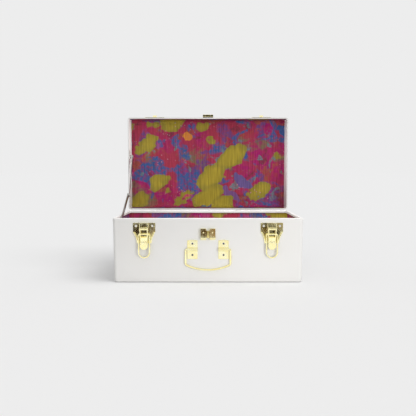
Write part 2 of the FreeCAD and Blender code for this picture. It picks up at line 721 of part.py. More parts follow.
def bail():
    """Wire handle: inturned ends, straight sides and a shallow curved grip."""
    end_x = SADDLE_X - SADDLE_WIDTH / 2 + MOVE_GAP
    low_z = BAIL_Z - BAIL_SIDE
    grip_r = (BAIL_HALF ** 2 + BAIL_DIP ** 2) / (2 * BAIL_DIP)
    grip_z = low_z - BAIL_DIP + grip_r
    bend_x = BAIL_HALF - BAIL_LOW_BEND
    bend_z = grip_z - math.sqrt((grip_r - BAIL_LOW_BEND) ** 2 - bend_x ** 2)
    meet = math.degrees(math.atan2(bend_z - grip_z, bend_x))
    top_x = BAIL_HALF - BAIL_TOP_BEND
    half = [
        line((end_x, BAIL_Z), (top_x, BAIL_Z)),
        bend((top_x, BAIL_Z - BAIL_TOP_BEND), BAIL_TOP_BEND, 90, 0),
        line((BAIL_HALF, BAIL_Z - BAIL_TOP_BEND), (BAIL_HALF, bend_z)),
        bend((bend_x, bend_z), BAIL_LOW_BEND, 0, meet),
        bend((0, grip_z), grip_r, meet, -90),
    ]
    side = wire_form(half, BAIL_OUT, BAIL_R)
    other = side.mirror(V(0, 0, 0), V(1, 0, 0))
    return side.fuse(other).removeSplitter()


def clasp_catch():
    """Two raised pads with a ledge below, joined by a round-bottomed groove with a wide mouth."""
    low = CATCH_TOP - CATCH_HEIGHT
    ledge_top = low + CATCH_LEDGE
    mouth_low = CATCH_TOP - CATCH_MOUTH_H
    half = CATCH_WIDTH / 2
    groove_r = CATCH_GROOVE / 2
    face_out = FITTING + CATCH_PAD
    axis_y = FRONT - CATCH_GROOVE_OUT
    web = slab(-groove_r, groove_r, 0, CATCH_GROOVE_OUT, ledge_top, mouth_low)
    body = web.cut(rod(V(0, axis_y, low), V(0, axis_y, CATCH_TOP), groove_r))
    for sign in (-1, 1):
        corners = [
            (sign * half, low),
            (sign * CATCH_NOTCH / 2, low),
            (sign * CATCH_NOTCH / 2, ledge_top),
            (sign * groove_r, ledge_top),
            (sign * groove_r, mouth_low),
            (sign * CATCH_MOUTH / 2, CATCH_TOP),
            (sign * half, CATCH_TOP),
        ]
        edges = [line(a, b) for a, b in zip(corners, corners[1:] + corners[:1])]
        pad = front_piece(edges, 0, face_out)
        ledge = [e for e in edges_at_height(pad, low) if e.BoundBox.YMax < FRONT - CATCH_PAD]
        pad = pad.makeFillet(CATCH_LEDGE_R, ledge)
        rims = [e for e in pad.Edges if e.BoundBox.YMax < FRONT - face_out + SAME]
        pad = pad.makeFillet(EASE, [e for e in rims if e.BoundBox.ZMin > ledge_top + FITTING])
        x0, x1 = sorted((sign * half, sign * groove_r))
        pad = pad.cut(slab(x0, x1, face_out - FITTING / 2, face_out, ledge_top, ledge_top + FITTING / 2))
        body = body.fuse(pad)
    return punched(body.removeSplitter(), CATCH_RIVETS)


def hasp_spans():
    """X limits of the hasp's middle knuckle."""
    return -HASP_TONGUE_W / 2, HASP_TONGUE_W / 2


def hasp_plate():
    """Leaf on the lid with the two outer knuckles."""
    half = HASP_WIDTH / 2
    leaf = slab(-half, half, 0, FITTING, HASP_Z, HASP_Z + HASP_LEAF)
    tips = [e for e in edges_through(leaf, FITTING) if e.BoundBox.ZMin > HASP_Z + FITTING]
    leaf = leaf.makeFillet(TIP_CORNER, tips)
    web = slab(-half, half, 0, HASP_OUT, HASP_Z - HASP_BARREL_R / 2, HASP_Z + HASP_BARREL_R / 2)
    body = leaf.fuse(web).fuse(across(-half, half, HASP_OUT, HASP_Z, HASP_BARREL_R))
    x0, x1 = hasp_spans()
    room = HASP_BARREL_R + MOVE_GAP
    x0 -= MOVE_GAP / 2
    x1 += MOVE_GAP / 2
    body = body.cut(slab(x0, x1, FITTING, HASP_OUT + room, HASP_Z - room, HASP_Z + room))
    body = body.cut(across(-HASP_WIDTH, HASP_WIDTH, HASP_OUT, HASP_Z, HASP_PIN_R + RUN_FIT))
    return punched(body.removeSplitter(), HASP_RIVETS)


def hasp_tongue():
    """Swinging tongue, folded back on the lid, with a rib that drops into the catch's groove."""
    x0, x1 = hasp_spans()
    x0 += MOVE_GAP / 2
    x1 -= MOVE_GAP / 2
    back = HASP_OUT - HASP_BARREL_R
    high = HASP_Z + HASP_TONGUE_LENGTH
    plate = slab(x0, x1, back, back + HASP_SHEET, HASP_Z, high)
    tips = [e for e in edges_through(plate, HASP_SHEET) if e.BoundBox.ZMin > high - SAME]
    plate = plate.makeFillet(HASP_TIP_R, tips)
    rib_low = high - TIP_CORNER - HASP_RIB_LENGTH
    half = HASP_RIB_W / 2
    rib = slab(-half, half, back, back + HASP_SHEET + HASP_RIB_H, rib_low, rib_low + HASP_RIB_LENGTH)
    body = plate.fuse(across(x0, x1, HASP_OUT, HASP_Z, HASP_BARREL_R)).fuse(rib).removeSplitter()
    return body.cut(across(-HASP_WIDTH, HASP_WIDTH, HASP_OUT, HASP_Z, HASP_PIN_R + RUN_FIT))


def hasp_pin():
    """Pin through the hasp's knuckles."""
    half = HASP_WIDTH / 2
    return across(-half, half, HASP_OUT, HASP_Z, HASP_PIN_R)


def stay_points():
    """Base pivot, elbow and lid pivot of the stay as (Y, Z), with the lid open."""
    pivot = (STAY_BASE_Y, STAY_BASE_Z)
    turn = math.radians(OPEN_ANGLE)
    reach = (-STAY_LID_REACH, STAY_LID_RISE)
    lid_y = HINGE_Y + reach[0] * math.cos(turn) + reach[1] * math.sin(turn)
    lid_z = HINGE_Z - reach[0] * math.sin(turn) + reach[1] * math.cos(turn)
    span = math.hypot(lid_y - pivot[0], lid_z - pivot[1])
    along = (STAY_LOWER ** 2 - STAY_UPPER ** 2 + span ** 2) / (2 * span)
    off = math.sqrt(STAY_LOWER ** 2 - along ** 2)
    unit = ((lid_y - pivot[0]) / span, (lid_z - pivot[1]) / span)
    elbow = (pivot[0] + along * unit[0] + off * unit[1], pivot[1] + along * unit[1] - off * unit[0])
    return pivot, elbow, (lid_y, lid_z)


# Layers of the stay, from the left wall inwards
LOWER_ARM_X = LEFT + HEM + STAY_HEM_GAP
UPPER_ARM_X = LOWER_ARM_X + ARM_T + MOVE_GAP


def stay_rod(x0, x1, point, radius):
    """Round bar along X at a point of the stay."""
    return rod(V(x0, point[0], point[1]), V(x1, point[0], point[1]), radius)


def stay_arm(x, start, end, holes):
    """Flat bar with round ends between two pivots."""
    along = V(0, end[0] - start[0], end[1] - start[1])
    bar = Part.makeBox(ARM_T, along.Length, ARM_WIDTH, V(0, 0, -ARM_WIDTH / 2))
    bar.Placement = FreeCAD.Placement(V(x, start[0], start[1]), FreeCAD.Rotation(V(0, 1, 0), along))
    for point in (start, end):
        bar = bar.fuse(stay_rod(x, x + ARM_T, point, ARM_WIDTH / 2))
    bar = bar.removeSplitter()
    for point in holes:
        bar = bar.cut(stay_rod(x - ARM_T, x + 2 * ARM_T, point, STAY_PIN_R + RUN_FIT))
    return bar


def stay_bracket(x, point, boss_to, rivets):
    """Plate riveted to a wall, with a boss that carries a pivot pin."""
    low = V(x, point[0] - STAY_PLATE_L / 2, point[1] - STAY_PLATE_H / 2)
    plate = Part.makeBox(STAY_SHEET, STAY_PLATE_L, STAY_PLATE_H, low)
    ends = [e for e in plate.Edges if e.BoundBox.XLength > STAY_SHEET / 2]
    plate = plate.makeFillet(STAY_PLATE_R, ends)
    plate = plate.fuse(stay_rod(x, boss_to, point, STAY_BOSS_R)).removeSplitter()
    plate = plate.cut(stay_rod(x - SHEET, boss_to + SHEET, point, STAY_PIN_R + RUN_FIT))
    return punched(plate, rivets)


def stay_pin(x, arm_x, point):
    """Headed pivot pin from a bracket through an arm."""
    head_x = arm_x + ARM_T + LAY_GAP
    shank = stay_rod(x, head_x, point, STAY_PIN_R)
    return shank.fuse(stay_rod(head_x, head_x + STAY_HEAD_T, point, STAY_HEAD_R)).removeSplitter()


def stay_parts():
    """All pieces of the stay by name, with the lid open."""
    pivot, elbow, lid_point = stay_points()
    shut_point = (STAY_LID_Y, HINGE_Z + STAY_LID_RISE)
    lid_boss_x = UPPER_ARM_X - LAY_GAP
    upper = stay_arm(UPPER_ARM_X, lid_point, elbow, [lid_point])
    cap_x = UPPER_ARM_X + ARM_T
    upper = upper.fuse(stay_rod(cap_x, cap_x + STAY_HEAD_T, elbow, STAY_HEAD_R)).removeSplitter()
    return {
        "stay_base_bracket": stay_bracket(STAY_PLATE_X, pivot, LOWER_ARM_X - LAY_GAP, STAY_BASE_RIVETS),
        "stay_lid_bracket": opened(stay_bracket(STAY_LID_X, shut_point, lid_boss_x, STAY_LID_RIVETS)),
        "stay_lower_arm": stay_arm(LOWER_ARM_X, pivot, elbow, [pivot]),
        "stay_upper_arm": upper,
        "stay_base_pin": stay_pin(STAY_PLATE_X, LOWER_ARM_X, pivot),
        "stay_lid_pin": stay_pin(STAY_LID_X, UPPER_ARM_X, lid_point),
    }


def recessed_screw(seat, inward, grip, sizes):
    """Handle screw: a domed head with a cone-shaped driver recess."""
    crown = seat - inward * RIVET_HEAD_H
    recess = Part.makeCone(SCREW_RECESS_R, 0, SCREW_RECESS_D, crown, inward)
    return rivet(seat, inward, grip, sizes).cut(recess)


def rivet_group(rivets, maker=rivet):
    """Several fasteners of one kind, as separate solids."""
    return Part.makeCompound([maker(*each) for each in rivets])


def all_parts():
    """Every node of the trunk by name."""
    parts = {
        "base_shell": base_shell(),
        "base_wall_liner": base_wall_liner(),
        "base_floor_liner": base_floor_liner(),
        "lid_shell": opened(lid_shell()),
        "lid_liner": opened(lid_liner()),
        "handle_bail": bail(),
        "clasp_catch": clasp_catch(),
        "hasp_plate": opened(hasp_plate()),
        "hasp_tongue": opened(hasp_tongue()),
        "hasp_pin": opened(hasp_pin()),
        "latch_rivets": rivet_group(LATCH_RIVETS),
        "keeper_rivets": opened(rivet_group(KEEPER_RIVETS)),
        "handle_screws": rivet_group(HANDLE_SCREWS, recessed_screw),
        "hinge_base_rivets": rivet_group(HINGE_BASE_RIVETS),
        "hinge_lid_rivets": opened(rivet_group(HINGE_LID_RIVETS)),
        "catch_rivets": rivet_group(CATCH_RIVETS),
        "hasp_rivets": opened(rivet_group(HASP_RIVETS)),
        "stay_base_rivets": rivet_group(STAY_BASE_RIVETS),
        "stay_lid_rivets": opened(rivet_group(STAY_LID_RIVETS)),
    }
    parts.update(stay_parts())
    for side, x in HINGES:
        parts[side + "_hinge_base_leaf"] = hinge_leaf(x, False)
        parts[side + "_hinge_lid_leaf"] = opened(hinge_leaf(x, True))
        parts[side + "_hinge_pin"] = hinge_pin(x)
    latch = {
        "_latch_plate": latch_plate(),
        "_latch_lever": latch_lever(),
        "_latch_pin": latch_pin(),
        "_latch_loop": latch_loop(),
        "_keeper": opened(keeper()),
    }
    for side, x in LATCHES:
        for piece, shape in latch.items():
            parts[side + piece] = moved(shape, x)
    for side, x in SADDLES:
        parts[side + "_handle_plate"] = saddle_plate(x)
    return parts


os.makedirs("parts", exist_ok=True)
for name, shape in all_parts().items():
    shape.exportStep("parts/" + name + ".step")
    print(name, "solids", len(shape.Solids), "valid", shape.isValid(), "volume %.1f" % shape.Volume)
print("stay pivots (Y, Z):", [tuple(round(v, 2) for v in p) for p in stay_points()])
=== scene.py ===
import bpy
import json
import math
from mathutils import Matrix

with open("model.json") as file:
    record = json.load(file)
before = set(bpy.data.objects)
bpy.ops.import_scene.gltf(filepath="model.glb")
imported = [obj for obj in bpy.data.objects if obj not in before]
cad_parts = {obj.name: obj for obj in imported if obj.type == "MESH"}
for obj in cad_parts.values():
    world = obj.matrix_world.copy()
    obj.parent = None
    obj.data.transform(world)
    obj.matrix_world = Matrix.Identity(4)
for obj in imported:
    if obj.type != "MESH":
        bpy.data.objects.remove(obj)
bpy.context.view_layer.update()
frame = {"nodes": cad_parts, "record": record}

# Storage trunk, lid open, seen from the front. Metres, +X right, -Y front, +Z up.

SCENE = bpy.context.scene
SCENE.view_settings.view_transform = "Standard"
SIDES = {"left": -1.0, "right": 1.0}

# Camera: millimetres of lens and sensor, place, and degrees that it looks down
LENS = 47.0
SENSOR = 36.0
CAMERA_PLACE = (0.0, -0.951, 0.1763)
CAMERA_DOWN = 3.752

# Backdrop and floor: the tone that shows, and the light that they give
BACKDROP = 0.847
AMBIENT = 0.664
FLOOR_BOUNCE = 0.46
FLOOR_SIZE = 120.0
FLOOR_DROP = 0.0002

# Key: a wide sun from above on the right
KEY_STRENGTH = 1.29
KEY_SPREAD = 48.0
KEY_PLACE = (0.62, -0.28, 1.0)
KEY_TARGET = (0.0, 0.0, 0.0)

# Soft lamps: power, width and height, place, and the point that they face
SIDE_LAMP = (2.15, (0.25, 0.25), (0.38, -0.60, 0.04), (0.05, -0.09, 0.05))
LID_LAMP = (4.8, (0.8, 0.5), (-0.40, -1.0, 0.36), (0.0, 0.1, 0.2))
RIM_LAMP = (0.6, (0.3, 0.04), (0.05, -0.05, 0.32), (0.0, 0.085, 0.10))
FRONT_LAMP = (0.016, (0.30, 0.02), (-0.04, -0.17, 0.012), (-0.04, -0.0875, 0.03))

# Narrow lamps before the open lid, each facing the end wall across from it
WALL_POWERS = {"left": 0.036, "right": 0.024}
WALL_LAMP_SIZE = (0.06, 0.10)
WALL_SPREAD = 50.0
WALL_LAMP_ASIDE = 0.10
WALL_LAMP_BACK = 0.05
WALL_ASIDE = 0.15
WALL_BACK = 0.11
WALL_HEIGHT = 0.22

# Cards that only the metal reflects, in two rows on the floor: near edge, far edge and left end of the row,
# then the colour and right edge of each card
CARD_LIFT = 0.001
FAR_ROW = (-0.68, -1.19, -0.70)
FAR_CARDS = {
    "latch_card_left_dark": ((0.022, 0.010, 0.003), -0.172),
    "latch_card_left_pale": ((0.30, 0.26, 0.25), -0.07),
    "catch_card_left": ((0.085, 0.050, 0.025), 0.0),
    "catch_card_right": ((0.28, 0.18, 0.10), 0.07),
    "latch_card_right_olive": ((0.14, 0.085, 0.012), 0.180),
    "latch_card_right_dark": ((0.006, 0.004, 0.002), 0.215),
    "latch_card_right_pale": ((0.30, 0.265, 0.21), 0.70),
}
NEAR_ROW = (-0.12, -0.67, -0.28)
NEAR_CARDS = {
    "left_loop_card": ((1.15, 1.15, 1.15), -0.09),
    "handle_card": ((0.99, 1.0, 1.03), 0.09),
    "right_loop_card": ((1.15, 1.15, 1.15), 0.28),
}

# Upright cards, one on each side: colour, inner and outer edge, place from front to back, foot, top
TONGUE_CARD = ((1.12, 1.12, 1.12), 0.15, 0.34, -1.2, 0.0, 0.9)
KEEPER_CARD = ((0.05, 0.04, 0.025), 0.07, 0.14, 0.03, 0.24, 0.2887)

# Leaning card for the hasp: colour, lowest corner, highest corner
HASP_CARD = ((0.02, 0.013, 0.006), (-0.035, 0.02, 0.22), (0.035, 0.08, 0.45))

# Handle screws: places of their driver recesses on the front, and radii of the painted shade in them
SCREW_X = 0.0249
SCREW_Z = 0.0535
SCREW_SPREAD = 0.00905
SCREW_RECESS = 0.00145
SCREW_DARKEST = 0.8 * SCREW_RECESS

# Finishes, as linear colours
WHITE_PAINT = (0.875, 0.862, 0.838)
BRASS_PALE = (1.0, 0.95, 0.59)
BRASS_DEEP = (0.99, 0.88, 0.45)
NICKEL = (0.82, 0.80, 0.76)
NICKEL_DULL = (0.70, 0.68, 0.63)
STAY_STEEL = (0.74, 0.72, 0.69)
STAY_DULL = (0.56, 0.54, 0.51)
# The stay's lower arm: the stay's plated steel darkened as painted shade
SHADED_ARM_STEEL = (0.42, 0.40, 0.37)
SHADED_ARM_DULL = (0.29, 0.27, 0.245)
# Painted shade for the handle screws' driver recesses
RECESS_SHADE = (0.012, 0.010, 0.008)
CRIMSON = (0.36, 0.035, 0.07)
MAGENTA = (0.34, 0.012, 0.13)
MAROON = (0.19, 0.030, 0.055)
BRICK = (0.32, 0.075, 0.05)
MUSTARD = (0.38, 0.29, 0.032)
OLIVE = (0.27, 0.22, 0.035)
BLUE = (0.045, 0.10, 0.28)
VIOLET = (0.15, 0.055, 0.20)
TAUPE = (0.19, 0.13, 0.075)
PINK = (0.48, 0.045, 0.135)
ROSE = (0.55, 0.20, 0.26)
SLATE = (0.13, 0.20, 0.22)
ORANGE = (0.60, 0.22, 0.035)

# Washes of the lining, from the lowest up: size, edge, softness, seed, colour
LINING_WASHES = (
    (22.0, 0.54, 0.07, 7.7, MAROON),
    (26.0, 0.54, 0.07, 1.3, BRICK),
    (19.0, 0.55, 0.08, 12.9, TAUPE),
    (24.0, 0.55, 0.06, 5.5, VIOLET),
    (20.0, 0.54, 0.05, 21.4, BLUE),
    (34.0, 0.60, 0.05, 9.2, SLATE),
)

# Brush dabs over them: size, slant, stretch, share, reach, what leads from one colour to the other
LINING_DABS = (
    (40.0, -0.7, 0.42, 0.22, 0.40, "Tone", BLUE, PINK),
    (25.0, 0.62, 0.55, 0.60, 0.50, "Depth", OLIVE, MUSTARD),
    (46.0, 0.3, 0.7, 0.07, 0.34, "Tone", ORANGE, PINK),
)

# Fine streaks of the print, upright: size on each axis, darkest and lightest
STREAK_SIZE = (420.0, 420.0, 24.0)
STREAK_DARK = 0.70
STREAK_LIGHT = 1.20

# Sockets of the Mix node when it mixes colours
MIX_MASK = 0
MIX_UNDER = 6
MIX_OVER = 7
MIX_RESULT = 2


def rgba(colour):
    return (*colour, 1.0)


def add(tree, kind, **settings):
    node = tree.nodes.new(kind)
    for key, value in settings.items():
        setattr(node, key, value)
    return node


def feed(tree, socket, value):
    """Link a socket to another one, or set it to a plain number, colour or vector."""
    if isinstance(value, bpy.types.NodeSocket):
        tree.links.new(value, socket)
    elif socket.type == "RGBA":
        socket.default_value = rgba(value)
    else:
        socket.default_value = value


def math_node(tree, operation, *values):
    node = add(tree, "ShaderNodeMath", operation=operation)
    for socket, value in zip(node.inputs, values):
        feed(tree, socket, value)
    return node.outputs[0]


def varied(tree, tone, change, middle):
    """A number that changes around a middle value with a tone."""
    return math_node(tree, "MULTIPLY_ADD", tone, change, middle)


def vector_node(tree, operation, first, second):
    node = add(tree, "ShaderNodeVectorMath", operation=operation)
    feed(tree, node.inputs[0], first)
    feed(tree, node.inputs["Scale" if operation == "SCALE" else 1], second)
    return node.outputs[0]


def range_node(tree, value, low, high, to_low=0.0, to_high=1.0, slope="SMOOTHSTEP"):
    node = add(tree, "ShaderNodeMapRange", interpolation_type=slope)
    ends = {"Value": value, "From Min": low, "From Max": high, "To Min": to_low, "To Max": to_high}
    for name, end in ends.items():
        feed(tree, node.inputs[name], end)
    return node.outputs["Result"]


def mix_colour(tree, mask, under, over):
    node = add(tree, "ShaderNodeMix", data_type="RGBA")
    for slot, value in ((MIX_MASK, mask), (MIX_UNDER, under), (MIX_OVER, over)):
        feed(tree, node.inputs[slot], value)
    return node.outputs[MIX_RESULT]


def noise_node(tree, place, size, detail):
    node = add(tree, "ShaderNodeTexNoise")
    feed(tree, node.inputs["Vector"], place)
    feed(tree, node.inputs["Scale"], size)
    feed(tree, node.inputs["Detail"], detail)
    return node


def cell_node(tree, place, size, scatter):
    """Scattered cells: distance from a cell's middle, and two chance numbers of each cell."""
    cells = add(tree, "ShaderNodeTexVoronoi", feature="F1")
    feed(tree, cells.inputs["Vector"], place)
    feed(tree, cells.inputs["Scale"], size)
    feed(tree, cells.inputs["Randomness"], scatter)
    chances = add(tree, "ShaderNodeSeparateColor")
    tree.links.new(cells.outputs["Color"], chances.inputs[0])
    return cells.outputs["Distance"], chances.outputs[0], chances.outputs[1]


def stretched(tree, place, axis, factor):
    """A place with one axis made longer or shorter."""
    split = add(tree, "ShaderNodeSeparateXYZ")
    tree.links.new(place, split.inputs[0])
    joined = add(tree, "ShaderNodeCombineXYZ")
    for name in "XYZ":
        value = split.outputs[name]
        if name == axis:
            value = math_node(tree, "MULTIPLY", value, factor)
        tree.links.new(value, joined.inputs[name])
    return joined.outputs[0]


def group_shell(name, numbers, results):
    """Empty node group that takes a place and some numbers, and puts out named values."""
    group = bpy.data.node_groups.new(name, "ShaderNodeTree")
    group.interface.new_socket(name="Place", in_out="INPUT", socket_type="NodeSocketVector")
    for key, value in numbers.items():
        socket = group.interface.new_socket(name=key, in_out="INPUT", socket_type="NodeSocketFloat")
        socket.default_value = value
    for key in results:
        group.interface.new_socket(name=key, in_out="OUTPUT", socket_type="NodeSocketFloat")
    return group, add(group, "NodeGroupInput").outputs, add(group, "NodeGroupOutput").inputs


def make_patchiness():
    """Slow and fine tone changes over a surface, from -1 to 1."""
    numbers = {"Slow size": 30.0, "Fine size": 900.0}
    group, given, wanted = group_shell("surface patchiness", numbers, ("Slow", "Fine"))
    noise_low = 0.25
    noise_high = 0.75
    for name, detail in (("Slow", 3.0), ("Fine", 2.0)):
        noise = noise_node(group, given["Place"], given[name + " size"], detail)
        tone = range_node(group, noise.outputs["Fac"], noise_low, noise_high, -1.0, 1.0, "LINEAR")
        group.links.new(tone, wanted[name])
    return group


def make_rub_lines():
    """Fine hairlines in two directions, left by polishing and handling, as a mask."""
    group, given, wanted = group_shell("rub lines", {"Size": 260.0, "Stretch": 14.0}, ("Lines",))
    faint = 0.60
    full = 0.72
    masks = []
    for turn in (0.5, 2.1):
        spin = add(group, "ShaderNodeVectorRotate", rotation_type="EULER_XYZ")
        spin.inputs["Rotation"].default_value = (0.3 * turn, turn, 0.7 * turn)
        group.links.new(given["Place"], spin.inputs["Vector"])
        drawn = stretched(group, spin.outputs["Vector"], "Y", given["Stretch"])
        noise = noise_node(group, drawn, given["Size"], detail=2.0)
        masks.append(range_node(group, noise.outputs["Fac"], faint, full))
    group.links.new(math_node(group, "MAXIMUM", *masks), wanted["Lines"])
    return group


def make_wash():
    """One wet wash of colour with a ragged edge and dry grain, as a mask."""
    numbers = {"Size": 20.0, "Edge": 0.5, "Softness": 0.08, "Seed": 0.0}
    group, given, wanted = group_shell("colour wash", numbers, ("Mask",))
    seed_slope = 1.7
    grain_finer = 9.0
    grain_low = 0.36
    grain_high = 0.58
    driest = 0.35
    seed = add(group, "ShaderNodeCombineXYZ")
    group.links.new(given["Seed"], seed.inputs["X"])
    group.links.new(math_node(group, "MULTIPLY", given["Seed"], seed_slope), seed.inputs["Y"])
    shifted = vector_node(group, "ADD", given["Place"], seed.outputs[0])
    noise = noise_node(group, shifted, given["Size"], detail=5.0)
    noise.inputs["Roughness"].default_value = 0.55
    noise.inputs["Distortion"].default_value = 0.6
    full = math_node(group, "ADD", given["Edge"], given["Softness"])
    wet = range_node(group, noise.outputs["Fac"], given["Edge"], full)
    grain_size = math_node(group, "MULTIPLY", given["Size"], grain_finer)
    grain = noise_node(group, shifted, grain_size, detail=4.0)
    dry = range_node(group, grain.outputs["Fac"], grain_low, grain_high, to_low=driest)
    group.links.new(math_node(group, "MULTIPLY", wet, dry), wanted["Mask"])
    return group


def make_dabs():
    """Slanting brush dabs in scattered places: a mask, a tone for each dab, the depth inside its edge."""
    numbers = {"Size": 16.0, "Slant": 0.6, "Stretch": 0.5, "Share": 0.5, "Reach": 0.42}
    group, given, wanted = group_shell("brush dabs", numbers, ("Mask", "Tone", "Depth"))
    ragged_size = 60.0
    ragged_reach = 0.022
    edge_blur = 0.035
    edge_depth = 0.22
    ragged = noise_node(group, given["Place"], ragged_size, detail=4.0)
    centred = vector_node(group, "SUBTRACT", ragged.outputs["Color"], (0.5, 0.5, 0.5))
    bend = vector_node(group, "SCALE", centred, ragged_reach)
    bent = vector_node(group, "ADD", given["Place"], bend)
    spin = add(group, "ShaderNodeVectorRotate", rotation_type="Y_AXIS")
    group.links.new(bent, spin.inputs["Vector"])
    group.links.new(given["Slant"], spin.inputs["Angle"])
    drawn = stretched(group, spin.outputs["Vector"], "X", given["Stretch"])
    distance, chance, tone = cell_node(group, drawn, given["Size"], scatter=0.85)
    near = math_node(group, "SUBTRACT", given["Reach"], distance)
    inside = range_node(group, near, 0.0, edge_blur)
    chosen = math_node(group, "LESS_THAN", chance, given["Share"])
    group.links.new(math_node(group, "MULTIPLY", inside, chosen), wanted["Mask"])
    group.links.new(tone, wanted["Tone"])
    group.links.new(range_node(group, near, 0.0, edge_depth), wanted["Depth"])
    return group


def make_speckle():
    """Small scattered dots of the print: a mask, and a tone for each dot."""
    numbers = {"Size": 220.0, "Share": 0.3, "Reach": 0.3}
    group, given, wanted = group_shell("print speckle", numbers, ("Mask", "Tone"))
    distance, chance, tone = cell_node(group, given["Place"], given["Size"], scatter=1.0)
    inside = math_node(group, "LESS_THAN", distance, given["Reach"])
    chosen = math_node(group, "LESS_THAN", chance, given["Share"])
    group.links.new(math_node(group, "MULTIPLY", inside, chosen), wanted["Mask"])
    group.links.new(tone, wanted["Tone"])
    return group


PATCHINESS = make_patchiness()
RUB_LINES = make_rub_lines()
WASH = make_wash()
DABS = make_dabs()
SPECKLE = make_speckle()


def placed(tree, group, place, **values):
    """Put a node group in a finish, with values of its own."""
    node = add(tree, "ShaderNodeGroup", node_tree=group)
    tree.links.new(place, node.inputs["Place"])
    for name, value in values.items():
        node.inputs[name.replace("_", " ")].default_value = value
    return node.outputs


def finish_shell(name):
    finish = bpy.data.materials.new(name)
    finish.use_nodes = True
    tree = finish.node_tree
    shader = tree.nodes["Principled BSDF"]
    place = add(tree, "ShaderNodeTexCoord").outputs["Object"]
    return finish, tree, shader, place


def bump_from(tree, shader, height, strength, distance):
    bump = add(tree, "ShaderNodeBump")
    bump.inputs["Strength"].default_value = strength
    bump.inputs["Distance"].default_value = distance
    tree.links.new(height, bump.inputs["Height"])
    tree.links.new(bump.outputs[0], shader.inputs["Normal"])


def white_paint():
    """Satin stove paint with a little orange peel."""
    finish, tree, shader, place = finish_shell("white stove paint")
    tone = placed(tree, PATCHINESS, place, Slow_size=14.0, Fine_size=1500.0)
    value = varied(tree, tone["Slow"], change=0.012, middle=1.0)
    shade = add(tree, "ShaderNodeCombineColor")
    for socket, part in zip(shade.inputs, WHITE_PAINT):
        tree.links.new(math_node(tree, "MULTIPLY", value, part), socket)
    tree.links.new(shade.outputs[0], shader.inputs["Base Color"])
    rough = varied(tree, tone["Slow"], change=0.05, middle=0.42)
    tree.links.new(rough, shader.inputs["Roughness"])
    bump_from(tree, shader, tone["Fine"], strength=0.12, distance=0.00012)
    shader.inputs["Specular IOR Level"].default_value = 0.4
    return finish


def plated(name, colour, deep, rough, lines):
    """Bright plated metal with patchy gloss and hairlines."""
    finish, tree, shader, place = finish_shell(name)
    tone = placed(tree, PATCHINESS, place, Slow_size=120.0, Fine_size=700.0)
    rubbed = placed(tree, RUB_LINES, place, Size=240.0, Stretch=18.0)
    mask = range_node(tree, tone["Slow"], -0.9, 0.9)
    tree.links.new(mix_colour(tree, mask, deep, colour), shader.inputs["Base Color"])
    gloss = varied(tree, tone["Slow"], change=0.03, middle=rough)
    worn = varied(tree, rubbed["Lines"], change=lines, middle=gloss)
    tree.links.new(worn, shader.inputs["Roughness"])
    bump_from(tree, shader, tone["Fine"], strength=0.03, distance=0.00003)
    shader.inputs["Metallic"].default_value = 1.0
    return finish


def screw_steel():
    """Nickel screws with painted shade in their driver recesses: near black and not metal there."""
    finish = plated("nickel handle screws", NICKEL, NICKEL_DULL, rough=0.12, lines=0.08)
    tree = finish.node_tree
    shader = tree.nodes["Principled BSDF"]
    split = add(tree, "ShaderNodeSeparateXYZ")
    tree.links.new(tree.nodes["Texture Coordinate"].outputs["Object"], split.inputs[0])
    level = math_node(tree, "SUBTRACT", split.outputs["Z"], SCREW_Z)
    squares = []
    for away, screw in ((split.outputs["X"], SCREW_X), (level, SCREW_SPREAD)):
        offset = math_node(tree, "SUBTRACT", math_node(tree, "ABSOLUTE", away), screw)
        squares.append(math_node(tree, "POWER", offset, 2.0))
    reach = math_node(tree, "SQRT", math_node(tree, "ADD", *squares))
    # Painted shade: inside the recess the screw turns near black and loses its metal
    inside = range_node(tree, reach, SCREW_RECESS, SCREW_DARKEST)
    metal = shader.inputs["Base Color"].links[0].from_socket
    tree.links.new(mix_colour(tree, inside, metal, RECESS_SHADE), shader.inputs["Base Color"])
    tree.links.new(math_node(tree, "SUBTRACT", 1.0, inside), shader.inputs["Metallic"])
    return finish


def printed_lining():
    """Printed paper on board: wet washes of colour, slanting brush dabs and small dots."""
    finish, tree, shader, place = finish_shell("printed lining paper")
    ground = placed(tree, WASH, place, Size=13.0, Edge=0.42, Softness=0.16, Seed=3.1)
    colour = mix_colour(tree, ground["Mask"], CRIMSON, MAGENTA)
    for size, edge, soft, seed, tint in LINING_WASHES:
        wash = placed(tree, WASH, place, Size=size, Edge=edge, Softness=soft, Seed=seed)
        colour = mix_colour(tree, wash["Mask"], colour, tint)
    for size, slant, stretch, share, reach, lead, first, last in LINING_DABS:
        shape = {"Size": size, "Slant": slant, "Stretch": stretch, "Share": share, "Reach": reach}
        dabs = placed(tree, DABS, place, **shape)
        tint = mix_colour(tree, dabs[lead], first, last)
        colour = mix_colour(tree, dabs["Mask"], colour, tint)
    dots = placed(tree, SPECKLE, place, Size=260.0, Share=0.22, Reach=0.36)
    dot_zone = placed(tree, WASH, place, Size=9.0, Edge=0.50, Softness=0.10, Seed=30.7)
    dotted = math_node(tree, "MULTIPLY", dots["Mask"], dot_zone["Mask"])
    tint = mix_colour(tree, dots["Tone"], ROSE, SLATE)
    colour = mix_colour(tree, dotted, colour, tint)
    streak = add(tree, "ShaderNodeMapping")
    streak.inputs["Scale"].default_value = STREAK_SIZE
    tree.links.new(place, streak.inputs["Vector"])
    brushed = noise_node(tree, streak.outputs[0], size=1.0, detail=3.0)
    depth = range_node(tree, brushed.outputs["Fac"], 0.3, 0.7, STREAK_DARK, STREAK_LIGHT, "LINEAR")
    tree.links.new(vector_node(tree, "SCALE", colour, depth), shader.inputs["Base Color"])
    tone = placed(tree, PATCHINESS, place, Slow_size=60.0, Fine_size=2200.0)
    rough = varied(tree, tone["Slow"], change=0.06, middle=0.68)
    tree.links.new(rough, shader.inputs["Roughness"])
    bump_from(tree, shader, tone["Fine"], strength=0.2, distance=0.0001)
    shader.inputs["Specular IOR Level"].default_value = 0.25
    return finish


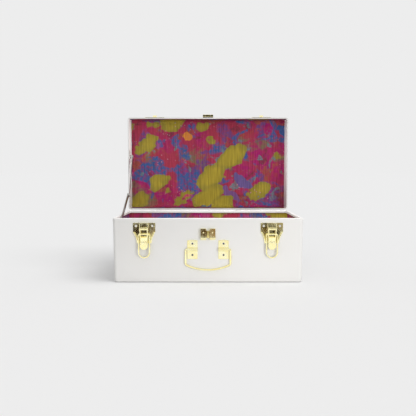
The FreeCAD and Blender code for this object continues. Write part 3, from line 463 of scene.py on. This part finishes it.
FINISHES = {
    "paint": white_paint(),
    "lining": printed_lining(),
    "brass": plated("polished brass plate", BRASS_PALE, BRASS_DEEP, rough=0.07, lines=0.08),
    "rivet_metal": plated("bright nickel", NICKEL, NICKEL_DULL, rough=0.12, lines=0.08),
    "stay_metal": plated("grey plated steel", STAY_STEEL, STAY_DULL, rough=0.34, lines=0.12),
}

# Pieces whose finish differs from the others in their slot
LEVER_BRASS = plated("satin brass levers", BRASS_PALE, BRASS_DEEP, rough=0.20, lines=0.06)
OWN_FINISH = {
    "handle_screws": screw_steel(),
    "left_latch_lever": LEVER_BRASS,
    "right_latch_lever": LEVER_BRASS,
    # The lower arm has the stay's steel darkened as painted shade
    "stay_lower_arm": plated("plated steel with painted shade", SHADED_ARM_STEEL, SHADED_ARM_DULL, rough=0.34, lines=0.12),
}


def dress_nodes():
    """Give every piece of the trunk its finish."""
    slots = {part["node"]: part["material_slot"] for part in frame["record"]["subparts"]}
    for name, node in frame["nodes"].items():
        node.data.materials.clear()
        node.data.materials.append(OWN_FINISH.get(name, FINISHES[slots[name]]))


def seen_directly(tree):
    """1 for rays that show the backdrop: camera, mirror and glass rays."""
    path = add(tree, "ShaderNodeLightPath")
    seen = math_node(tree, "MAXIMUM", path.outputs["Is Camera Ray"], path.outputs["Is Glossy Ray"])
    return math_node(tree, "MAXIMUM", seen, path.outputs["Is Transmission Ray"])


def make_world():
    """Even pale backdrop and a lower, even skylight."""
    world = bpy.data.worlds.new("pale studio")
    world.use_nodes = True
    tree = world.node_tree
    tree.nodes.clear()
    sky = add(tree, "ShaderNodeBackground")
    sky.inputs["Color"].default_value = (1.0, 1.0, 1.0, 1.0)
    sky.inputs["Strength"].default_value = AMBIENT
    back = add(tree, "ShaderNodeBackground")
    back.inputs["Color"].default_value = (BACKDROP, BACKDROP, BACKDROP, 1.0)
    blend = add(tree, "ShaderNodeMixShader")
    tree.links.new(seen_directly(tree), blend.inputs[0])
    tree.links.new(sky.outputs[0], blend.inputs[1])
    tree.links.new(back.outputs[0], blend.inputs[2])
    tree.links.new(blend.outputs[0], add(tree, "ShaderNodeOutputWorld").inputs[0])
    SCENE.world = world


def stage_plane(name, size):
    bpy.ops.object.select_all(action="DESELECT")
    bpy.ops.mesh.primitive_plane_add(size=size, location=(0.0, 0.0, 0.0))
    plane = bpy.context.active_object
    plane.name = name
    return plane


def stage_surface(name, kind):
    """Surface of one plain shader, and the socket of its colour."""
    surface = bpy.data.materials.new(name)
    surface.use_nodes = True
    tree = surface.node_tree
    tree.nodes.clear()
    shader = add(tree, kind)
    tree.links.new(shader.outputs[0], add(tree, "ShaderNodeOutputMaterial").inputs[0])
    return surface, shader.inputs["Color"]


def make_floor():
    """Wide pale floor that keeps the trunk's shadow."""
    floor = stage_plane("studio_floor", FLOOR_SIZE)
    for vertex in floor.data.vertices:
        vertex.co.z = -FLOOR_DROP
    surface, colour = stage_surface("pale floor", "ShaderNodeBsdfDiffuse")
    tree = surface.node_tree
    shade = mix_colour(tree, seen_directly(tree), (FLOOR_BOUNCE,) * 3, (BACKDROP,) * 3)
    tree.links.new(shade, colour)
    floor.data.materials.append(surface)
    return floor


def aim(lamp, place, target):
    """Put a lamp at a place, facing a target."""
    lamp.location = place
    reach = [t - p for t, p in zip(target, place)]
    level = math.hypot(reach[0], reach[1])
    lamp.rotation_euler = (math.atan2(level, -reach[2]), 0.0, math.atan2(-reach[0], reach[1]))


def hung_lamp(name, kind, place, target):
    lamp = bpy.data.objects.new(name, bpy.data.lights.new(name, kind))
    SCENE.collection.objects.link(lamp)
    aim(lamp, place, target)
    return lamp


def soft_lamp(name, power, size, place, target):
    """Area lamp that the camera and the mirrors do not see."""
    lamp = hung_lamp(name, "AREA", place, target)
    lamp.data.energy = power
    lamp.data.shape = "RECTANGLE"
    lamp.data.size, lamp.data.size_y = size
    lamp.visible_camera = False
    lamp.visible_glossy = False
    return lamp


def link_light(lamp, state, *things):
    """Let a lamp light only some things (INCLUDE), or all but them (EXCLUDE)."""
    chosen = bpy.data.collections.new(lamp.name + " list")
    for thing in things:
        chosen.objects.link(thing)
    for entry in chosen.collection_objects:
        entry.light_linking.link_state = state
    lamp.light_linking.receiver_collection = chosen


def make_lights(floor):
    """Key for the floor alone, and soft lamps for the trunk, most of them for chosen pieces."""
    base = frame["nodes"]["base_shell"]
    wall_liner = frame["nodes"]["base_wall_liner"]
    lid = frame["nodes"]["lid_shell"]
    key = hung_lamp("key", "SUN", KEY_PLACE, KEY_TARGET)
    key.data.energy = KEY_STRENGTH
    key.data.angle = math.radians(KEY_SPREAD)
    link_light(key, "INCLUDE", floor)
    link_light(soft_lamp("side lamp", *SIDE_LAMP), "EXCLUDE", floor)
    link_light(soft_lamp("lid lamp", *LID_LAMP), "EXCLUDE", floor, base, lid)
    link_light(soft_lamp("rim lamp", *RIM_LAMP), "INCLUDE", base, wall_liner)
    for end, sign in SIDES.items():
        place = (-sign * WALL_LAMP_ASIDE, WALL_LAMP_BACK, WALL_HEIGHT)
        target = (sign * WALL_ASIDE, WALL_BACK, WALL_HEIGHT)
        wall = soft_lamp(end + " wall lamp", WALL_POWERS[end], WALL_LAMP_SIZE, place, target)
        wall.data.spread = math.radians(WALL_SPREAD)
        link_light(wall, "INCLUDE", lid)
    front = soft_lamp("front lamp", *FRONT_LAMP)
    front.data.use_shadow = False
    link_light(front, "INCLUDE", base)


def reflection_card(name, colour, low, high):
    """Glowing card between two corners, seen only in the metal's reflections."""
    card = stage_plane(name, 1.0)
    for vertex in card.data.vertices:
        far = vertex.co.y > 0
        vertex.co.x = low[0] if vertex.co.x < 0 else high[0]
        vertex.co.y = high[1] if far else low[1]
        vertex.co.z = high[2] if far else low[2]
    surface, glow = stage_surface(name, "ShaderNodeEmission")
    glow.default_value = rgba(colour)
    card.data.materials.append(surface)
    card.visible_camera = False
    card.visible_diffuse = False
    card.visible_shadow = False
    card.visible_transmission = False


def card_row(cards, near, far, left):
    """Cards side by side on the floor, from the left."""
    for name, (colour, right) in cards.items():
        reflection_card(name, colour, (left, near, CARD_LIFT), (right, far, CARD_LIFT))
        left = right


def card_pair(kind, colour, inner, outer, back, foot, top):
    """An upright card on the left and its mirror image on the right."""
    for side, sign in SIDES.items():
        left, right = sorted((sign * inner, sign * outer))
        reflection_card(f"{side}_{kind}_card", colour, (left, back, foot), (right, back, top))


def make_cards():
    """Cards for the dark and pale bands in the brass."""
    card_row(FAR_CARDS, *FAR_ROW)
    card_row(NEAR_CARDS, *NEAR_ROW)
    card_pair("tongue", *TONGUE_CARD)
    reflection_card("hasp_card", *HASP_CARD)
    card_pair("keeper", *KEEPER_CARD)


def make_camera():
    """Camera of the photograph: from the front, above the rim, looking a little down."""
    data = bpy.data.cameras.new("front camera")
    data.lens = LENS
    data.sensor_width = SENSOR
    camera = bpy.data.objects.new("front camera", data)
    SCENE.collection.objects.link(camera)
    camera.location = CAMERA_PLACE
    camera.rotation_euler = (math.radians(90.0 - CAMERA_DOWN), 0.0, 0.0)
    SCENE.camera = camera


dress_nodes()
make_world()
make_lights(make_floor())
make_cards()
make_camera()
